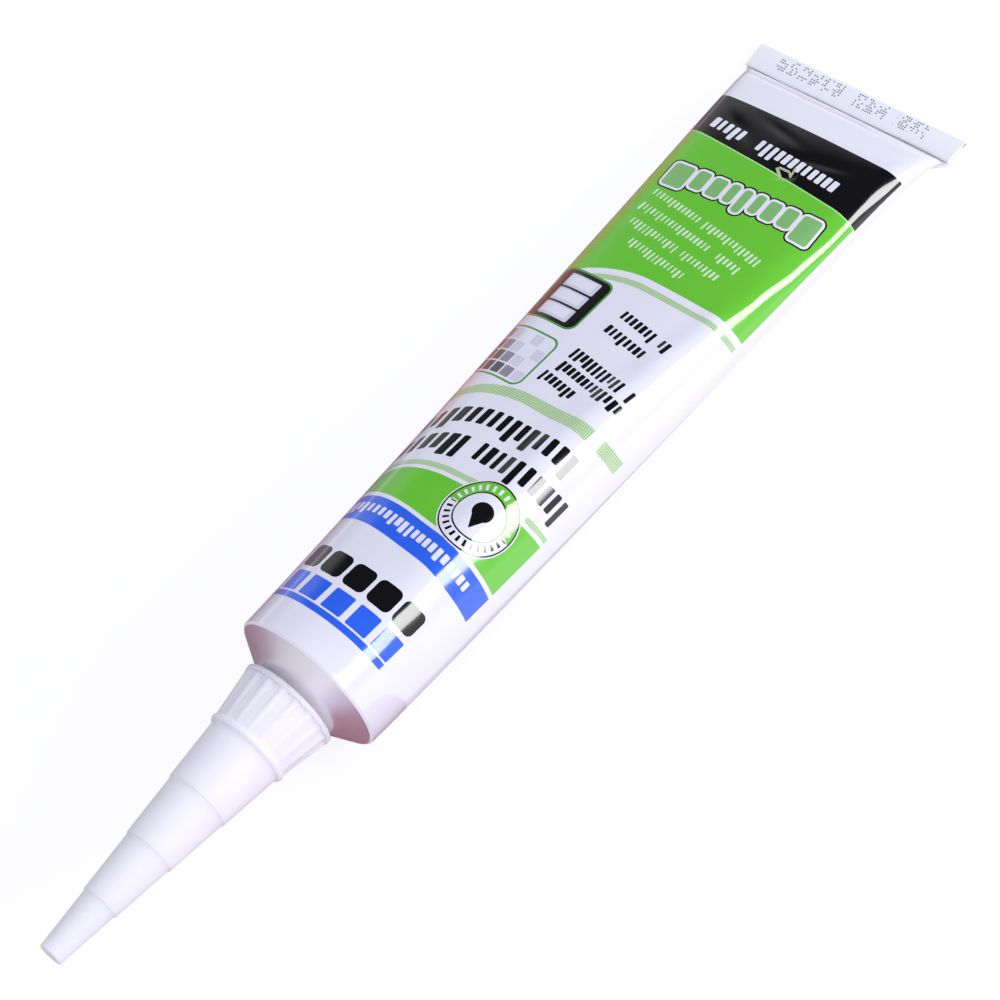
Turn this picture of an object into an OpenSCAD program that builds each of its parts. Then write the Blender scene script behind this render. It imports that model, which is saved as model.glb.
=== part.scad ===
// Collapsible aluminium tube of silicone sealant with a stepped screw-on nozzle.
// The full tube lies on its flat underside. +X points to the folded tail and +Z is up.
// The origin is under the middle of the whole length, on the surface the tube lies on.

/* [Body] */
// Radius of the round front end of the body, at the rim
body_r = 12.5; // [10:0.5:18]
// Length of the body along its axis, from the rim to the tail fold
body_l = 124; // [90:1:170]
// Share of its height that the body loses on the way to the tail
taper_share = 0.8; // [0.6:0.02:0.9]
// How evenly the height is lost, where 1 is a straight wedge
taper_power = 0.9; // [0.8:0.05:1.4]
// How late the last of the height closes at the fold, where more is later
shut_power = 30; // [8:1:40]
// Thickness of the tube's sheet
sheet_t = 0.13; // [0.1:0.01:0.25]
// Width of the bright bevel where the body turns into the shoulder
rim_bevel = 0.3; // [0.1:0.05:0.6]

/* [Tail fold] */
// Depth of the folded strip along the tube
fold_depth = 4.8; // [4:0.1:10]
// Thickness of the whole folded strip
fold_t = 1.1; // [0.9:0.1:2]
// How far the strip stands out past the flattened body on each side
fold_overhang = 0.5; // [0:0.1:1.5]
// Gap between the flattened end and the layers rolled over it
fold_gap = 0.1; // [0.08:0.01:0.2]

/* [Shoulder and neck] */
// Length of the shoulder cone along the axis
shoulder_l = 3.8; // [3:0.1:7]
// Radius of the shoulder at the foot of the neck
shoulder_r = 6.3; // [5.5:0.1:7.3]
// Radius of the neck over its thread
neck_r = 4.5; // [4:0.1:5]
// Length of the neck in front of the shoulder
neck_l = 8; // [6:0.2:8.2]
// Radius of the mouth in the neck
mouth_r = 3.2; // [2.2:0.1:3.6]
// Depth of the foil seal below the end of the neck
seal_depth = 0.6; // [0.3:0.1:2]

/* [Nozzle] */
// Length of the nozzle from its flange to its closed tip
nozzle_l = 49.6; // [40:0.2:75]
// Radius of the flange
flange_r = 7.95; // [7.6:0.05:10]
// Thickness of the flange
flange_t = 0.8; // [0.6:0.1:1.4]
// Radius of the grip skirt at the flange
skirt_r = 7.4; // [6.9:0.05:7.5]
// Radius of the grip skirt at the collar
skirt_end_r = 6.45; // [6.3:0.05:6.8]
// Length of the flange and the grip skirt together
skirt_l = 8.4; // [8.3:0.1:11]
// Radius of the rounded collar at the end of the skirt
collar_r = 6.75; // [6.65:0.05:7.2]
// Length of the rounded collar
collar_l = 1.25; // [1:0.05:1.8]
// Number of grip ribs
rib_count = 18; // [12:1:24]
// Radius of each rib's round back
rib_r = 0.75; // [0.55:0.05:0.9]
// Height of each rib over the skirt at the flange
rib_h = 0.4; // [0.2:0.05:0.45]
// Radius of the stepped cone where it leaves the collar
cone_r = 6.15; // [5.8:0.05:6.3]
// Radius of the closed tip
tip_r = 1.95; // [1.7:0.05:2.6]
// Number of stages in the stepped cone
stages = 4; // [2:1:6]
// Height of the step between two stages
step_h = 0.22; // [0.1:0.02:0.3]
// Radius of the channel where the sealant enters it
channel_r = 4.1; // [2.8:0.1:4.4]
// Radius of the channel at the tip
channel_tip_r = 0.8; // [0.4:0.1:1]
// Thickness of the closed end of the tip
tip_wall = 1.4; // [0.8:0.1:3]

/* [Fits] */
// Clearance all round between the neck and the nozzle's socket
socket_clearance = 0.1; // [0.05:0.01:0.15]
// Gap between the seated nozzle and the faces of the shoulder and the neck
seat_gap = 0.2; // [0.1:0.05:0.3]

/* [Hidden] */
$fn = 96;

// Flat faces round each half of a body section, and sections along the body
half_sides = 20;
sections = 26;
// Small overlap of pieces that are joined
weld = 0.5;
// Chamfer on the moulded edges of the nozzle
edge = 0.2;

// Nose-up lean of the axis when the flat underside lies down
lean = atan(body_r / body_l);
tail_w = PI * body_r + 2 * fold_overhang;
layer_t = 2 * sheet_t;

// Positions along the axis, measured forwards from the rim
neck_end = shoulder_l + neck_l;
nozzle_start = shoulder_l + seat_gap;
nozzle_end = nozzle_start + nozzle_l;
socket_end = neck_end + seat_gap;
collar_start = nozzle_start + skirt_l;
cone_start = collar_start + collar_l;
stage_l = (nozzle_end - cone_start) / stages;
stage_drop = (cone_r - tip_r - (stages - 1) * step_h) / stages;

// The rim's centre and the tail's end, with the whole length centred on the origin
underside_l = body_l / cos(lean);
front_reach = nozzle_end * cos(lean) + (tip_r - body_r) * sin(lean);
rim_x = (front_reach - underside_l - fold_depth) / 2;
rim_centre = [rim_x + body_r * sin(lean), 0, body_r * cos(lean)];

// Half the height of the body, at a share t of its length from the rim
function half_height(t) =
    max(sheet_t, body_r * (1 - taper_share * pow(t, taper_power)) * sqrt(1 - pow(t, shut_power)));

// Half the flat width that keeps the sheet's girth the same as the section flattens
function half_flat(h) = PI * (body_r - h) / 2;

// Height of a section's middle over the axis, so that the underside stays in one plane
function middle(t) = half_height(t) - body_r * (1 - t);

// A point of the body, from its distance behind the rim, side and height over the axis
function lay(s, y, z) =
    rim_centre + [s * cos(lean) + z * sin(lean), y, z * cos(lean) - s * sin(lean)];

// One section: round sides of radius h, drawn apart by the flats above and below
function section(s, h, flat, z) =
    let (turn = 180 / half_sides, r = h / cos(turn / 2))
    [for (side = [1, -1], i = [0 : half_sides - 1])
        let (a = side * (90 - (i + 0.5) * turn))
        lay(s, side * (flat + r * cos(a)), z + r * sin(a))];

// Sections from the shoulder's small end, over the rim, to the tail
body_sections = concat(
    [section(-shoulder_l, shoulder_r, 0, 0)],
    [section(-rim_bevel, body_r - rim_bevel, 0, 0)],
    [for (i = [0 : sections])
        let (t = i / sections, h = half_height(t))
        section(t * body_l, h, half_flat(h), middle(t))]);

module body_form() {
    ring = 2 * half_sides;
    last = len(body_sections) - 1;
    points = [for (one = body_sections) each one];
    sides = [for (k = [0 : last - 1], i = [0 : ring - 1])
        let (a = k * ring + i, b = k * ring + (i + 1) % ring)
        each [[a, b, b + ring], [a, b + ring, a + ring]]];
    front = [[for (i = [ring - 1 : -1 : 0]) i]];
    back = [[for (i = [0 : ring - 1]) last * ring + i]];
    polyhedron(points, concat(sides, front, back), convexity = 4);
}

// Moves a piece drawn along +Z from the rim onto the tube's axis
module on_axis() {
    translate(rim_centre) rotate([0, lean - 90, 0]) children();
}

// The tail's section: the flattened end, and the layers rolled over it and tucked in
module fold_outline() {
    roll_t = fold_t - layer_t - fold_gap;
    bend_r = fold_t / 2;
    tuck_z = layer_t + fold_gap + roll_t / 2;
    difference() {
        union() {
            translate([-weld, 0]) square([fold_depth - bend_r + weld, layer_t]);
            translate([roll_t / 2, layer_t + fold_gap])
                square([fold_depth - bend_r - roll_t / 2, roll_t]);
            translate([roll_t / 2, tuck_z]) circle(r = roll_t / 2);
            translate([fold_depth - bend_r, bend_r]) circle(r = bend_r);
        }
        translate([0, layer_t]) square([fold_depth - bend_r, fold_gap]);
        translate([roll_t, tuck_z - fold_gap / 4])
            square([fold_depth - bend_r - roll_t, fold_gap / 2]);
    }
}

module tail_fold() {
    translate([rim_x + underside_l, 0, 0]) rotate([90, 0, 0])
        linear_extrude(height = tail_w, center = true) fold_outline();
}

module neck() {
    on_axis() difference() {
        translate([0, 0, shoulder_l - weld]) cylinder(r = neck_r, h = neck_l + weld);
        translate([0, 0, neck_end - seal_depth]) cylinder(r = mouth_r, h = seal_depth + weld);
    }
}

// Radius of the stepped cone at the start of stage k
function stage_r(k) = cone_r - k * (stage_drop + step_h);

// Outside of the nozzle, with the grip skirt left plain
module nozzle_outline() {
    flange = [[0, nozzle_start], [flange_r - edge, nozzle_start],
        [flange_r, nozzle_start + edge], [flange_r, nozzle_start + flange_t - edge],
        [flange_r - edge, nozzle_start + flange_t], [skirt_r, nozzle_start + flange_t]];
    cone = [for (k = [0 : stages - 1])
        each [[stage_r(k), cone_start + k * stage_l],
            [stage_r(k) - stage_drop, cone_start + (k + 1) * stage_l - (k == stages - 1 ? edge : 0)]]];
    collar_bend = collar_l / 2;
    polygon(concat(flange, [[skirt_end_r, collar_start], [cone_r, collar_start]], cone,
        [[tip_r - edge, nozzle_end], [0, nozzle_end]]));
    translate([collar_r - collar_bend, collar_start + collar_bend]) circle(r = collar_bend);
}

module grip_rib() {
    foot = [skirt_r + rib_h - rib_r, nozzle_start + flange_t / 2];
    top = [skirt_end_r + rib_h / 3 - rib_r, collar_start + collar_l / 2];
    rise = top - foot;
    translate([foot[0], 0, foot[1]]) rotate([0, atan(rise[0] / rise[1]), 0])
        cylinder(r = rib_r, h = norm(rise), $fn = 32);
}

module nozzle() {
    color("#f4f2fa") on_axis() difference() {
        union() {
            rotate_extrude() nozzle_outline();
            for (i = [0 : rib_count - 1]) rotate([0, 0, i * 360 / rib_count]) grip_rib();
        }
        translate([0, 0, nozzle_start - weld])
            cylinder(r = neck_r + socket_clearance, h = socket_end - nozzle_start + weld);
        translate([0, 0, socket_end - edge])
            cylinder(r1 = channel_r, r2 = channel_tip_r, h = nozzle_end - tip_wall - socket_end + edge);
    }
}

module tube() {
    color("#edebfa") union() {
        body_form();
        tail_fold();
        neck();
    }
}

tube();
nozzle();
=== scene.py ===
# Looks of a collapsible aluminium tube of silicone sealant with a stepped polyethylene nozzle.
import math

import bpy
from mathutils import Matrix, Vector, noise


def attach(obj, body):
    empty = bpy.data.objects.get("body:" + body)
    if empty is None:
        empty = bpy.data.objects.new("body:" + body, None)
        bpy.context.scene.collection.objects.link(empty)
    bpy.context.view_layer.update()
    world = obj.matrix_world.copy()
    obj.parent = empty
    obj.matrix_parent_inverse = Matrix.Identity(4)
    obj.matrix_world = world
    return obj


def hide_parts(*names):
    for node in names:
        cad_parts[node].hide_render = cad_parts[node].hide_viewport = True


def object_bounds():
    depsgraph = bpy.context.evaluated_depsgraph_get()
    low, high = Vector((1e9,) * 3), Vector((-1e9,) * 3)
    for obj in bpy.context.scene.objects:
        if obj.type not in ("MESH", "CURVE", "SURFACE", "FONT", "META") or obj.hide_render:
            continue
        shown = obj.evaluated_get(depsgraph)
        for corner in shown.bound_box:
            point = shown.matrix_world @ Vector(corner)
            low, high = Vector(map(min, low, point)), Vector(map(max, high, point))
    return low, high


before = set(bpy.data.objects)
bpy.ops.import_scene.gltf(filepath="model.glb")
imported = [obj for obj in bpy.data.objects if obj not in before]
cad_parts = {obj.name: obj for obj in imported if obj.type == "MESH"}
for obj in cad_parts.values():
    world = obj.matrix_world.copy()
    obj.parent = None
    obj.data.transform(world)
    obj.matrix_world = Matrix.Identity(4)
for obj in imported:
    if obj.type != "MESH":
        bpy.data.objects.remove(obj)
cad_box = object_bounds()

MM = 0.001

# Body and tail fold
BODY_R = 12.5 * MM
BODY_L = 124 * MM
TAPER_SHARE = 0.8
TAPER_POWER = 0.9
SHUT_POWER = 30
SHEET_T = 0.13 * MM
FOLD_DEPTH = 4.8 * MM
FOLD_T = 1.1 * MM
FOLD_OVERHANG = 0.5 * MM
# Share by which the top of a section is an oval instead of a flat between round sides
CROWN = 0.35

# Shoulder and neck
RIM_BEVEL = 0.3 * MM
SHOULDER_L = 3.8 * MM
SHOULDER_R = 6.3 * MM
NECK_R = 4.5 * MM
NECK_L = 8 * MM
MOUTH_R = 3.2 * MM
SEAL_DEPTH = 0.6 * MM
THREAD_PITCH = 1.6 * MM
THREAD_DEPTH = 0.42 * MM

# Nozzle
SEAT_GAP = 0.2 * MM
NOZZLE_L = 49.6 * MM
FLANGE_R = 7.95 * MM
FLANGE_T = 0.8 * MM
SKIRT_R = 7.4 * MM
SKIRT_END_R = 6.45 * MM
SKIRT_L = 8.4 * MM
COLLAR_R = 6.75 * MM
COLLAR_L = 1.25 * MM
RIB_COUNT = 18
RIB_R = 0.75 * MM
RIB_H = 0.4 * MM
CONE_R = 6.15 * MM
TIP_R = 1.95 * MM
STAGES = 4
STEP_H = 0.22 * MM
SOCKET_R = 4.6 * MM
SOCKET_THREAD = 0.24 * MM
CHANNEL_R = 4.1 * MM
CHANNEL_TIP_R = 0.8 * MM
TIP_WALL = 1.4 * MM
EDGE = 0.2 * MM

# Stations along the axis, forwards from the rim
NECK_END = SHOULDER_L + NECK_L
NOZZLE_START = SHOULDER_L + SEAT_GAP
NOZZLE_END = NOZZLE_START + NOZZLE_L
COLLAR_START = NOZZLE_START + SKIRT_L
CONE_START = COLLAR_START + COLLAR_L

# Nose-up lean of the axis, and where the rim and the fold are
LEAN = math.atan(BODY_R / BODY_L)
FOLD_X = cad_box[1].x - FOLD_DEPTH
RIM_X = FOLD_X - BODY_L / math.cos(LEAN)
RIM_CENTRE = Vector((RIM_X + BODY_R * math.sin(LEAN), 0, BODY_R * math.cos(LEAN)))
BACK = Vector((math.cos(LEAN), 0, -math.sin(LEAN)))
RISE = Vector((math.sin(LEAN), 0, math.cos(LEAN)))
ON_AXIS = Matrix.Translation(RIM_CENTRE) @ Matrix.Rotation(LEAN - math.pi / 2, 4, "Y")
GIRTH = 2 * math.pi * BODY_R
TAIL_W = GIRTH / 2 + 2 * FOLD_OVERHANG

# Fineness of the meshes
SHEET_FACES = (176, 310)
TAIL_FACES = 100
SHOULDER_FACES = 128
SEAL_FACES = 96
FACES_PER_RIB = 14
SAME_POINT = 0.004 * MM
SEAM_GAP = 0.002 * MM

# Camera, as the photograph was taken
LENS_MM = 126.98
CAMERA_AT = (-0.11847, -0.28298, 0.42685)
LOOKS_ALONG = Vector((0.23267, 0.54175, -0.80770))
CAMERA_UP = Vector((0.74448, 0.43516, 0.50634))

# Lacquer and inks
WHITE = "#ECEBF4"
BLUE = "#2C66EC"
GREEN = "#6CCB38"
DEEP_GREEN = "#4C9A3C"
FRESH_GREEN = "#84BE74"
LINE_GREEN = "#DDF2D2"
PALE_GREEN = "#D3E6C4"
# Pale green for a painted highlight along the edge of the black field
EDGE_HIGHLIGHT_GREEN = "#A9E58C"
HALFTONE_GREEN = "#9DC487"
BLACK = "#0B0A10"
PAPER_GREY = "#D7D6E4"
INK_GREY = "#5B5964"
DOT_GREY = "#8D8B99"
TILE_TONES = ("#34323C", "#3C3A44", "#4C4A54", "#8F8D99", PAPER_GREY, WHITE, PAPER_GREY, WHITE)
# Pale ink for the painted highlight of the lamp on the pinched crease
CREASE_HIGHLIGHT_PALE = "#BDC2A0"
# The tail strip's lacquer, painted lighter than the body's white: painted light where the strip
# faces the lamp
STRIP_LIT_WHITE = "#FBFBFE"

# The long soft swell of the filled sheet on the viewer's side, which carries the line of its shine:
# behind the rim, across from the top line, lean of its flank in degrees and width, in millimetres
SWELL = (
    (0, 10.9, 0.0, 3.0), (6, 10.8, 3.0, 3.0), (13, 10.5, 7.0, 3.0), (22, 10.3, 12.0, 3.1),
    (31, 10.2, 15.5, 3.2), (44, 11.1, 16.0, 3.3), (56, 12.1, 16.0, 3.2), (66, 13.1, 14.0, 2.6),
    (78, 14.2, 13.0, 2.0), (86, 15.4, 7.0, 1.7), (93, 16.5, -2.0, 1.6), (100, 17.0, -5.0, 1.6),
    (108, 17.1, 0.0, 1.4), (114, 17.2, 4.0, 1.4), (120, 17.2, 0.0, 1.4),
)

# Dents of handling near the tail: across from the top line, behind the rim, reach across and
# along, turn in radians and depth, in millimetres
DENTS = (
    (3.2, 106.2, 1.5, 0.45, 0.5, 0.16),
    (4.4, 107.6, 0.4, 1.3, 0.2, 0.12),
    (17.1, 113.2, 1.6, 4.5, 0.0, 0.38),
    (-9.5, 111.0, 3.4, 1.0, -0.5, 0.14),
    (6.5, 111.5, 5.0, 0.9, 0.25, 0.10),
    (-3.0, 113.5, 4.2, 0.8, -0.2, 0.08),
)
# Distance before the fold over which the dents fade
DENTS_FADE = 6 * MM
# Faint unevenness of the filled sheet: its height, and its length across and along
UNEVEN_H = 0.09 * MM
UNEVEN_L = (9 * MM, 22 * MM)

# The printed panel, in millimetres on the flat sheet: across from the top line, and behind the rim
PANEL_EDGE = 18.4

# Fields across the panel: front and back edge as (behind the rim, slope, bend), right end and ink
FIELDS = (
    ((5.6, 0, 0), (6.7, 0, 0), 13.5, BLUE),
    ((21.5, -0.07, -0.008), (26.65, -0.09, -0.0135), PANEL_EDGE, BLUE),
    ((27.3, -0.083, -0.011), (34.6, 0.07, -0.022), PANEL_EDGE, GREEN),
    ((79.55, 0.015, -0.026), (106.3, -0.055, 0), PANEL_EDGE + 0.2, GREEN),
    # Painted highlight: a thin pale green line along the edge of the black field
    ((106.05, -0.055, 0), (106.3, -0.055, 0), PANEL_EDGE + 0.2, EDGE_HIGHLIGHT_GREEN),
    ((106.3, -0.055, 0), (115.8, 0.02, 0), PANEL_EDGE + 0.6, BLACK),
)

# Strips of halftone across the panel: front and back edge
STRIPS = (
    ((35.3, 0.07, -0.023), (36.3, 0.062, -0.023)),
    ((51.0, 0.02, -0.027), (53.0, 0.04, -0.025)),
    ((77.2, 0.025, -0.024), (78.3, 0.015, -0.026)),
)
HALFTONE_PITCH = 0.5

# Rows of blocks near the rim: place of the first, size, corner and ink
BLOCKS = (
    ((11.6, 8.9), (3.7, 3.8), 0.25, BLUE),
    ((11.2, 13.8), (4.1, 4.2), 1.0, BLACK),
)
BLOCK_COUNT = 5
BLOCK_STEP = 4.75

# Rows of bars: how the row lies, spans across, front and back, pitch, half-width of the narrowest
# bar as a share of the pitch, start of the chance numbers and ink
ROWS = (
    ("band", ((-16.5, 14.2),), (23.1, 25.2), 1.2, 0.26, 3.1, WHITE),
    ("large", ((-17.6, -2.6), (-0.9, 17.6)), (37.9, 42.5), 1.75, 0.26, 18.3, BLACK),
    ("large", ((-17.6, 12.9),), (43.9, 48.3), 1.75, 0.26, 47.6, BLACK),
    ("notes", ((-0.9, 6.2),), (55.5, 57.7), 1.02, 0.26, 5.2, BLACK),
    ("notes", ((-0.9, 13.0),), (58.4, 60.6), 1.02, 0.26, 73.4, BLACK),
    ("notes", ((-0.9, 10.2), (11.3, 12.9)), (61.3, 63.5), 1.02, 0.26, 91.8, BLACK),
    ("notes", ((-0.9, 8.4),), (67.5, 69.7), 1.06, 0.26, 19.5, BLACK),
    ("notes", ((-0.9, 7.2), (8.1, 9.9)), (70.8, 73.0), 1.06, 0.26, 33.7, BLACK),
    ("lines", ((-8.2, 4.0),), (82.0, 83.7), 0.82, 0.14, 59.1, LINE_GREEN),
    ("lines", ((-11.6, -1.1), (0.2, 8.5)), (85.1, 86.8), 0.82, 0.14, 65.9, LINE_GREEN),
    ("lines", ((-12.3, 2.9), (4.8, 9.6)), (88.2, 89.9), 0.82, 0.14, 77.3, LINE_GREEN),
    ("lines", ((-12.9, -2.3), (-1.2, 10.8)), (91.3, 93.0), 0.82, 0.14, 83.8, LINE_GREEN),
    ("foot", ((-13.4, -6.8), (-5.2, 12.0)), (107.5, 110.4), 1.35, 0.27, 29.4, WHITE),
)

# The outlined row of green blocks: across, behind the rim, width and length of each
EMPHASIS = (
    (12.9, 98.9, 3.6, 5.4), (9.3, 99.5, 2.6, 4.1), (6.3, 99.4, 2.5, 4.1), (3.6, 99.5, 1.9, 4.1),
    (1.2, 98.9, 1.8, 5.1), (-1.2, 99.5, 1.9, 4.1), (-4.0, 99.4, 2.7, 4.1), (-7.2, 99.5, 2.6, 4.1),
    (-11.0, 98.9, 4.0, 5.0),
)
EMPHASIS_CORNER = 0.75

# Strokes of the painted highlight on the pinched crease: start, end and width
CREASE_HIGHLIGHT_STROKES = (
    ((1.3, 107.2), (3.0, 105.9), 0.5),
    ((1.5, 107.4), (3.6, 107.5), 0.4),
    ((3.6, 107.5), (4.3, 106.7), 0.3),
    ((4.2, 106.9), (3.8, 108.7), 0.3),
)

# Lines of small blocks on the back: front and back, pitch and distance between lines
BACK_LINES = (
    ((22.0, 32.0), 1.3, 2.5),
    ((34.0, 74.0), 0.9, 2.0),
    ((79.0, 107.0), 0.9, 2.0),
)
BACK_RULES = (19.0, 76.5, 110.0)
BACK_COLUMN = (24.4, 37.8)

# Kinds of node that values are carried through
MATH = "ShaderNodeMath"
VECTOR_MATH = "ShaderNodeVectorMath"


def lay(s, y, z):
    """The place s behind the rim, y to the side and z over the axis."""
    return RIM_CENTRE + s * BACK + Vector((0, y, 0)) + z * RISE


def half_height(t):
    """Half the height of the body at a share t of its length from the rim."""
    wedge = 1 - TAPER_SHARE * t**TAPER_POWER
    return max(SHEET_T, BODY_R * wedge * math.sqrt(max(0.0, 1 - t**SHUT_POWER)))


def body_point(arc, s):
    """Where a point of the flat sheet lies on the filled tube, s behind the rim.

    arc is the way along the sheet from the top line, towards the viewer's side.
    """
    t = s / BODY_L
    h = half_height(t)
    flat = math.pi * (BODY_R - h) / 2
    beyond = abs(arc) - flat
    if beyond <= 0:
        y, z = abs(arc), h
    elif beyond < math.pi * h:
        y, z = flat + h * math.sin(beyond / h), h * math.cos(beyond / h)
    else:
        y, z = flat - (beyond - math.pi * h), -h
    if z > 0:
        oval = h * math.sqrt(max(0.0, 1 - (y / (flat + h)) ** 2))
        z += CROWN * (oval - z)
    return lay(s, -math.copysign(y, arc), z + h - BODY_R * (1 - t))


def swell_height(arc, s):
    """How far the filling pushes the sheet out beside the line of its shine, in metres."""
    along = min(s / MM, SWELL[-1][0])
    for (start, *before), (end, *after) in zip(SWELL, SWELL[1:]):
        if along <= end:
            share = (along - start) / (end - start)
            share *= share * (3 - 2 * share)
            line, lean, width = (a + (b - a) * share for a, b in zip(before, after))
            crest = math.radians(lean) * width * MM * math.sqrt(math.e / 2)
            return crest * math.exp(-(((arc / MM - line) / width + math.sqrt(0.5)) ** 2))


def dent_depth(arc, s):
    """How far the sheet is pressed in at a place, in metres."""
    depth = 0.0
    for at_arc, at_s, along_arc, along_s, turn, deep in DENTS:
        across, behind = arc / MM - at_arc, s / MM - at_s
        u = (across * math.cos(turn) + behind * math.sin(turn)) / along_arc
        v = (behind * math.cos(turn) - across * math.sin(turn)) / along_s
        depth += deep * MM * math.exp(-(u * u + v * v))
    tailward = min(1.0, max(0.0, (s / BODY_L - 0.2) / 0.6))
    ripple = noise.noise(Vector((arc / UNEVEN_L[0], s / UNEVEN_L[1], 1.7)))
    return depth + UNEVEN_H * tailward * ripple


def linear(code):
    """The linear colour of an sRGB hex value."""
    parts = [int(code[i : i + 2], 16) / 255 for i in (1, 3, 5)]
    return [c / 12.92 if c <= 0.04045 else ((c + 0.055) / 1.055) ** 2.4 for c in parts] + [1.0]


def add(tree, kind, inputs=None, **settings):
    """Adds a node with its settings, values and links."""
    node = tree.nodes.new(kind)
    for name, value in settings.items():
        setattr(node, name, value)
    for key, value in (inputs or {}).items():
        if isinstance(value, bpy.types.NodeSocket):
            tree.links.new(value, node.inputs[key])
        else:
            node.inputs[key].default_value = value
    return node


def worked_out(tree, kind, first, *steps):
    """A value carried through steps of (operation, other value or values)."""
    for operation, *others in steps:
        inputs = dict(enumerate([first, *others]))
        first = add(tree, kind, inputs, operation=operation).outputs[0]
    return first


def both(tree, *masks):
    """1 where all of the masks are 1."""
    return worked_out(tree, MATH, masks[0], *(("MULTIPLY", other) for other in masks[1:]))


def between(tree, value, start, end):
    """1 where a value lies between two others."""
    return worked_out(tree, MATH, value, ("COMPARE", (start + end) / 2, (end - start) / 2))


def new_material(name):
    """A material with an empty tree."""
    material = bpy.data.materials.new(name)
    material.use_nodes = True
    material.node_tree.nodes.clear()
    return material, material.node_tree


def ink(tree, colour, mask, code):
    """The colour with an ink laid over it where the mask is 1."""
    inputs = {"Factor": mask, 6: colour, 7: linear(code)}
    return add(tree, "ShaderNodeMix", inputs, data_type="RGBA").outputs[2]


def block(tree, at, centre, size, corner=0.05):
    """1 inside a rounded block of the print, all in millimetres on the sheet."""
    core = (size[0] / 2 - corner, size[1] / 2 - corner, 0)
    near = worked_out(
        tree, VECTOR_MATH, at,
        ("SUBTRACT", (*centre, 0)), ("ABSOLUTE",), ("SUBTRACT", core),
        ("MULTIPLY", (1, 1, 0)), ("MAXIMUM", (0, 0, 0)),
    )
    reach = add(tree, VECTOR_MATH, {0: near}, operation="LENGTH").outputs["Value"]
    return worked_out(tree, MATH, reach, ("LESS_THAN", corner))


def turned(tree, at, angle, about):
    """The place as a row of print sees it that is turned about a point of the top line."""
    shift = (about * math.sin(angle), about * (1 - math.cos(angle)), 0)
    return add(
        tree, "ShaderNodeMapping", {"Vector": at, "Rotation": (0, 0, angle), "Location": shift}
    ).outputs[0]


def sheared(tree, at, slope, bend):
    """The place as print sees it that runs at a slope and bends beyond the top line."""
    across, behind = add(tree, "ShaderNodeSeparateXYZ", {0: at}).outputs[:2]
    far = worked_out(tree, MATH, across, ("MINIMUM", 0.0))
    drop = worked_out(tree, MATH, far, ("MULTIPLY", far), ("MULTIPLY", bend))
    shift = worked_out(tree, MATH, across, ("MULTIPLY_ADD", slope, drop))
    level = worked_out(tree, MATH, behind, ("SUBTRACT", shift))
    return add(tree, "ShaderNodeCombineXYZ", {0: across, 1: level}).outputs[0]


def field(tree, at, top, bottom, left, right):
    """1 in a band across the panel, with each edge given as (behind the rim, slope, bend)."""
    mask = between(tree, add(tree, "ShaderNodeSeparateXYZ", {0: at}).outputs[0], left, right)
    for (middle, slope, bend), side in ((top, "GREATER_THAN"), (bottom, "LESS_THAN")):
        place = sheared(tree, at, slope, bend)
        level = add(tree, "ShaderNodeSeparateXYZ", {0: place}).outputs[1]
        mask = both(tree, mask, worked_out(tree, MATH, level, (side, middle)))
    return mask


def type_row(tree, at, spans, rows, pitch, weight, seed):
    """1 inside groups of plain rounded bars that stand close together in a row."""
    top, bottom = rows
    height, corner = bottom - top, 0.16 * pitch
    more_width, short_share, shorter = 0.14 * pitch, 0.6, -0.13 * height
    across, behind = add(tree, "ShaderNodeSeparateXYZ", {0: at}).outputs[:2]
    cell = worked_out(tree, MATH, across, ("MULTIPLY_ADD", 1 / pitch, seed))
    number = worked_out(tree, MATH, cell, ("FLOOR",))
    chance = add(tree, "ShaderNodeTexWhiteNoise", {"W": number}, noise_dimensions="1D")
    wide, tall = add(tree, "ShaderNodeSeparateColor", {0: chance.outputs["Color"]}).outputs[:2]
    half_wide = worked_out(
        tree, MATH, wide, ("MULTIPLY_ADD", more_width, weight * pitch - corner)
    )
    half_tall = worked_out(
        tree, MATH, tall, ("LESS_THAN", short_share), ("MULTIPLY_ADD", shorter, height / 2 - corner)
    )
    middle = worked_out(tree, MATH, half_tall, ("MULTIPLY_ADD", -1.0, bottom - corner))
    aside = worked_out(
        tree, MATH, cell, ("FRACT",), ("SUBTRACT", 0.5), ("ABSOLUTE",), ("MULTIPLY", pitch),
        ("SUBTRACT", half_wide), ("MAXIMUM", 0.0),
    )
    away = worked_out(
        tree, MATH, behind, ("SUBTRACT", middle), ("ABSOLUTE",), ("SUBTRACT", half_tall),
        ("MAXIMUM", 0.0),
    )
    reach = worked_out(
        tree, MATH, away,
        ("MULTIPLY", away), ("ADD", worked_out(tree, MATH, aside, ("MULTIPLY", aside))),
        ("LESS_THAN", corner**2),
    )
    middles = worked_out(tree, MATH, number, ("SUBTRACT", seed - 0.5), ("MULTIPLY", pitch))
    inside, *others = [between(tree, middles, left, right) for left, right in spans]
    inside = worked_out(tree, MATH, inside, *(("MAXIMUM", other) for other in others))
    return both(tree, reach, inside)


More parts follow.
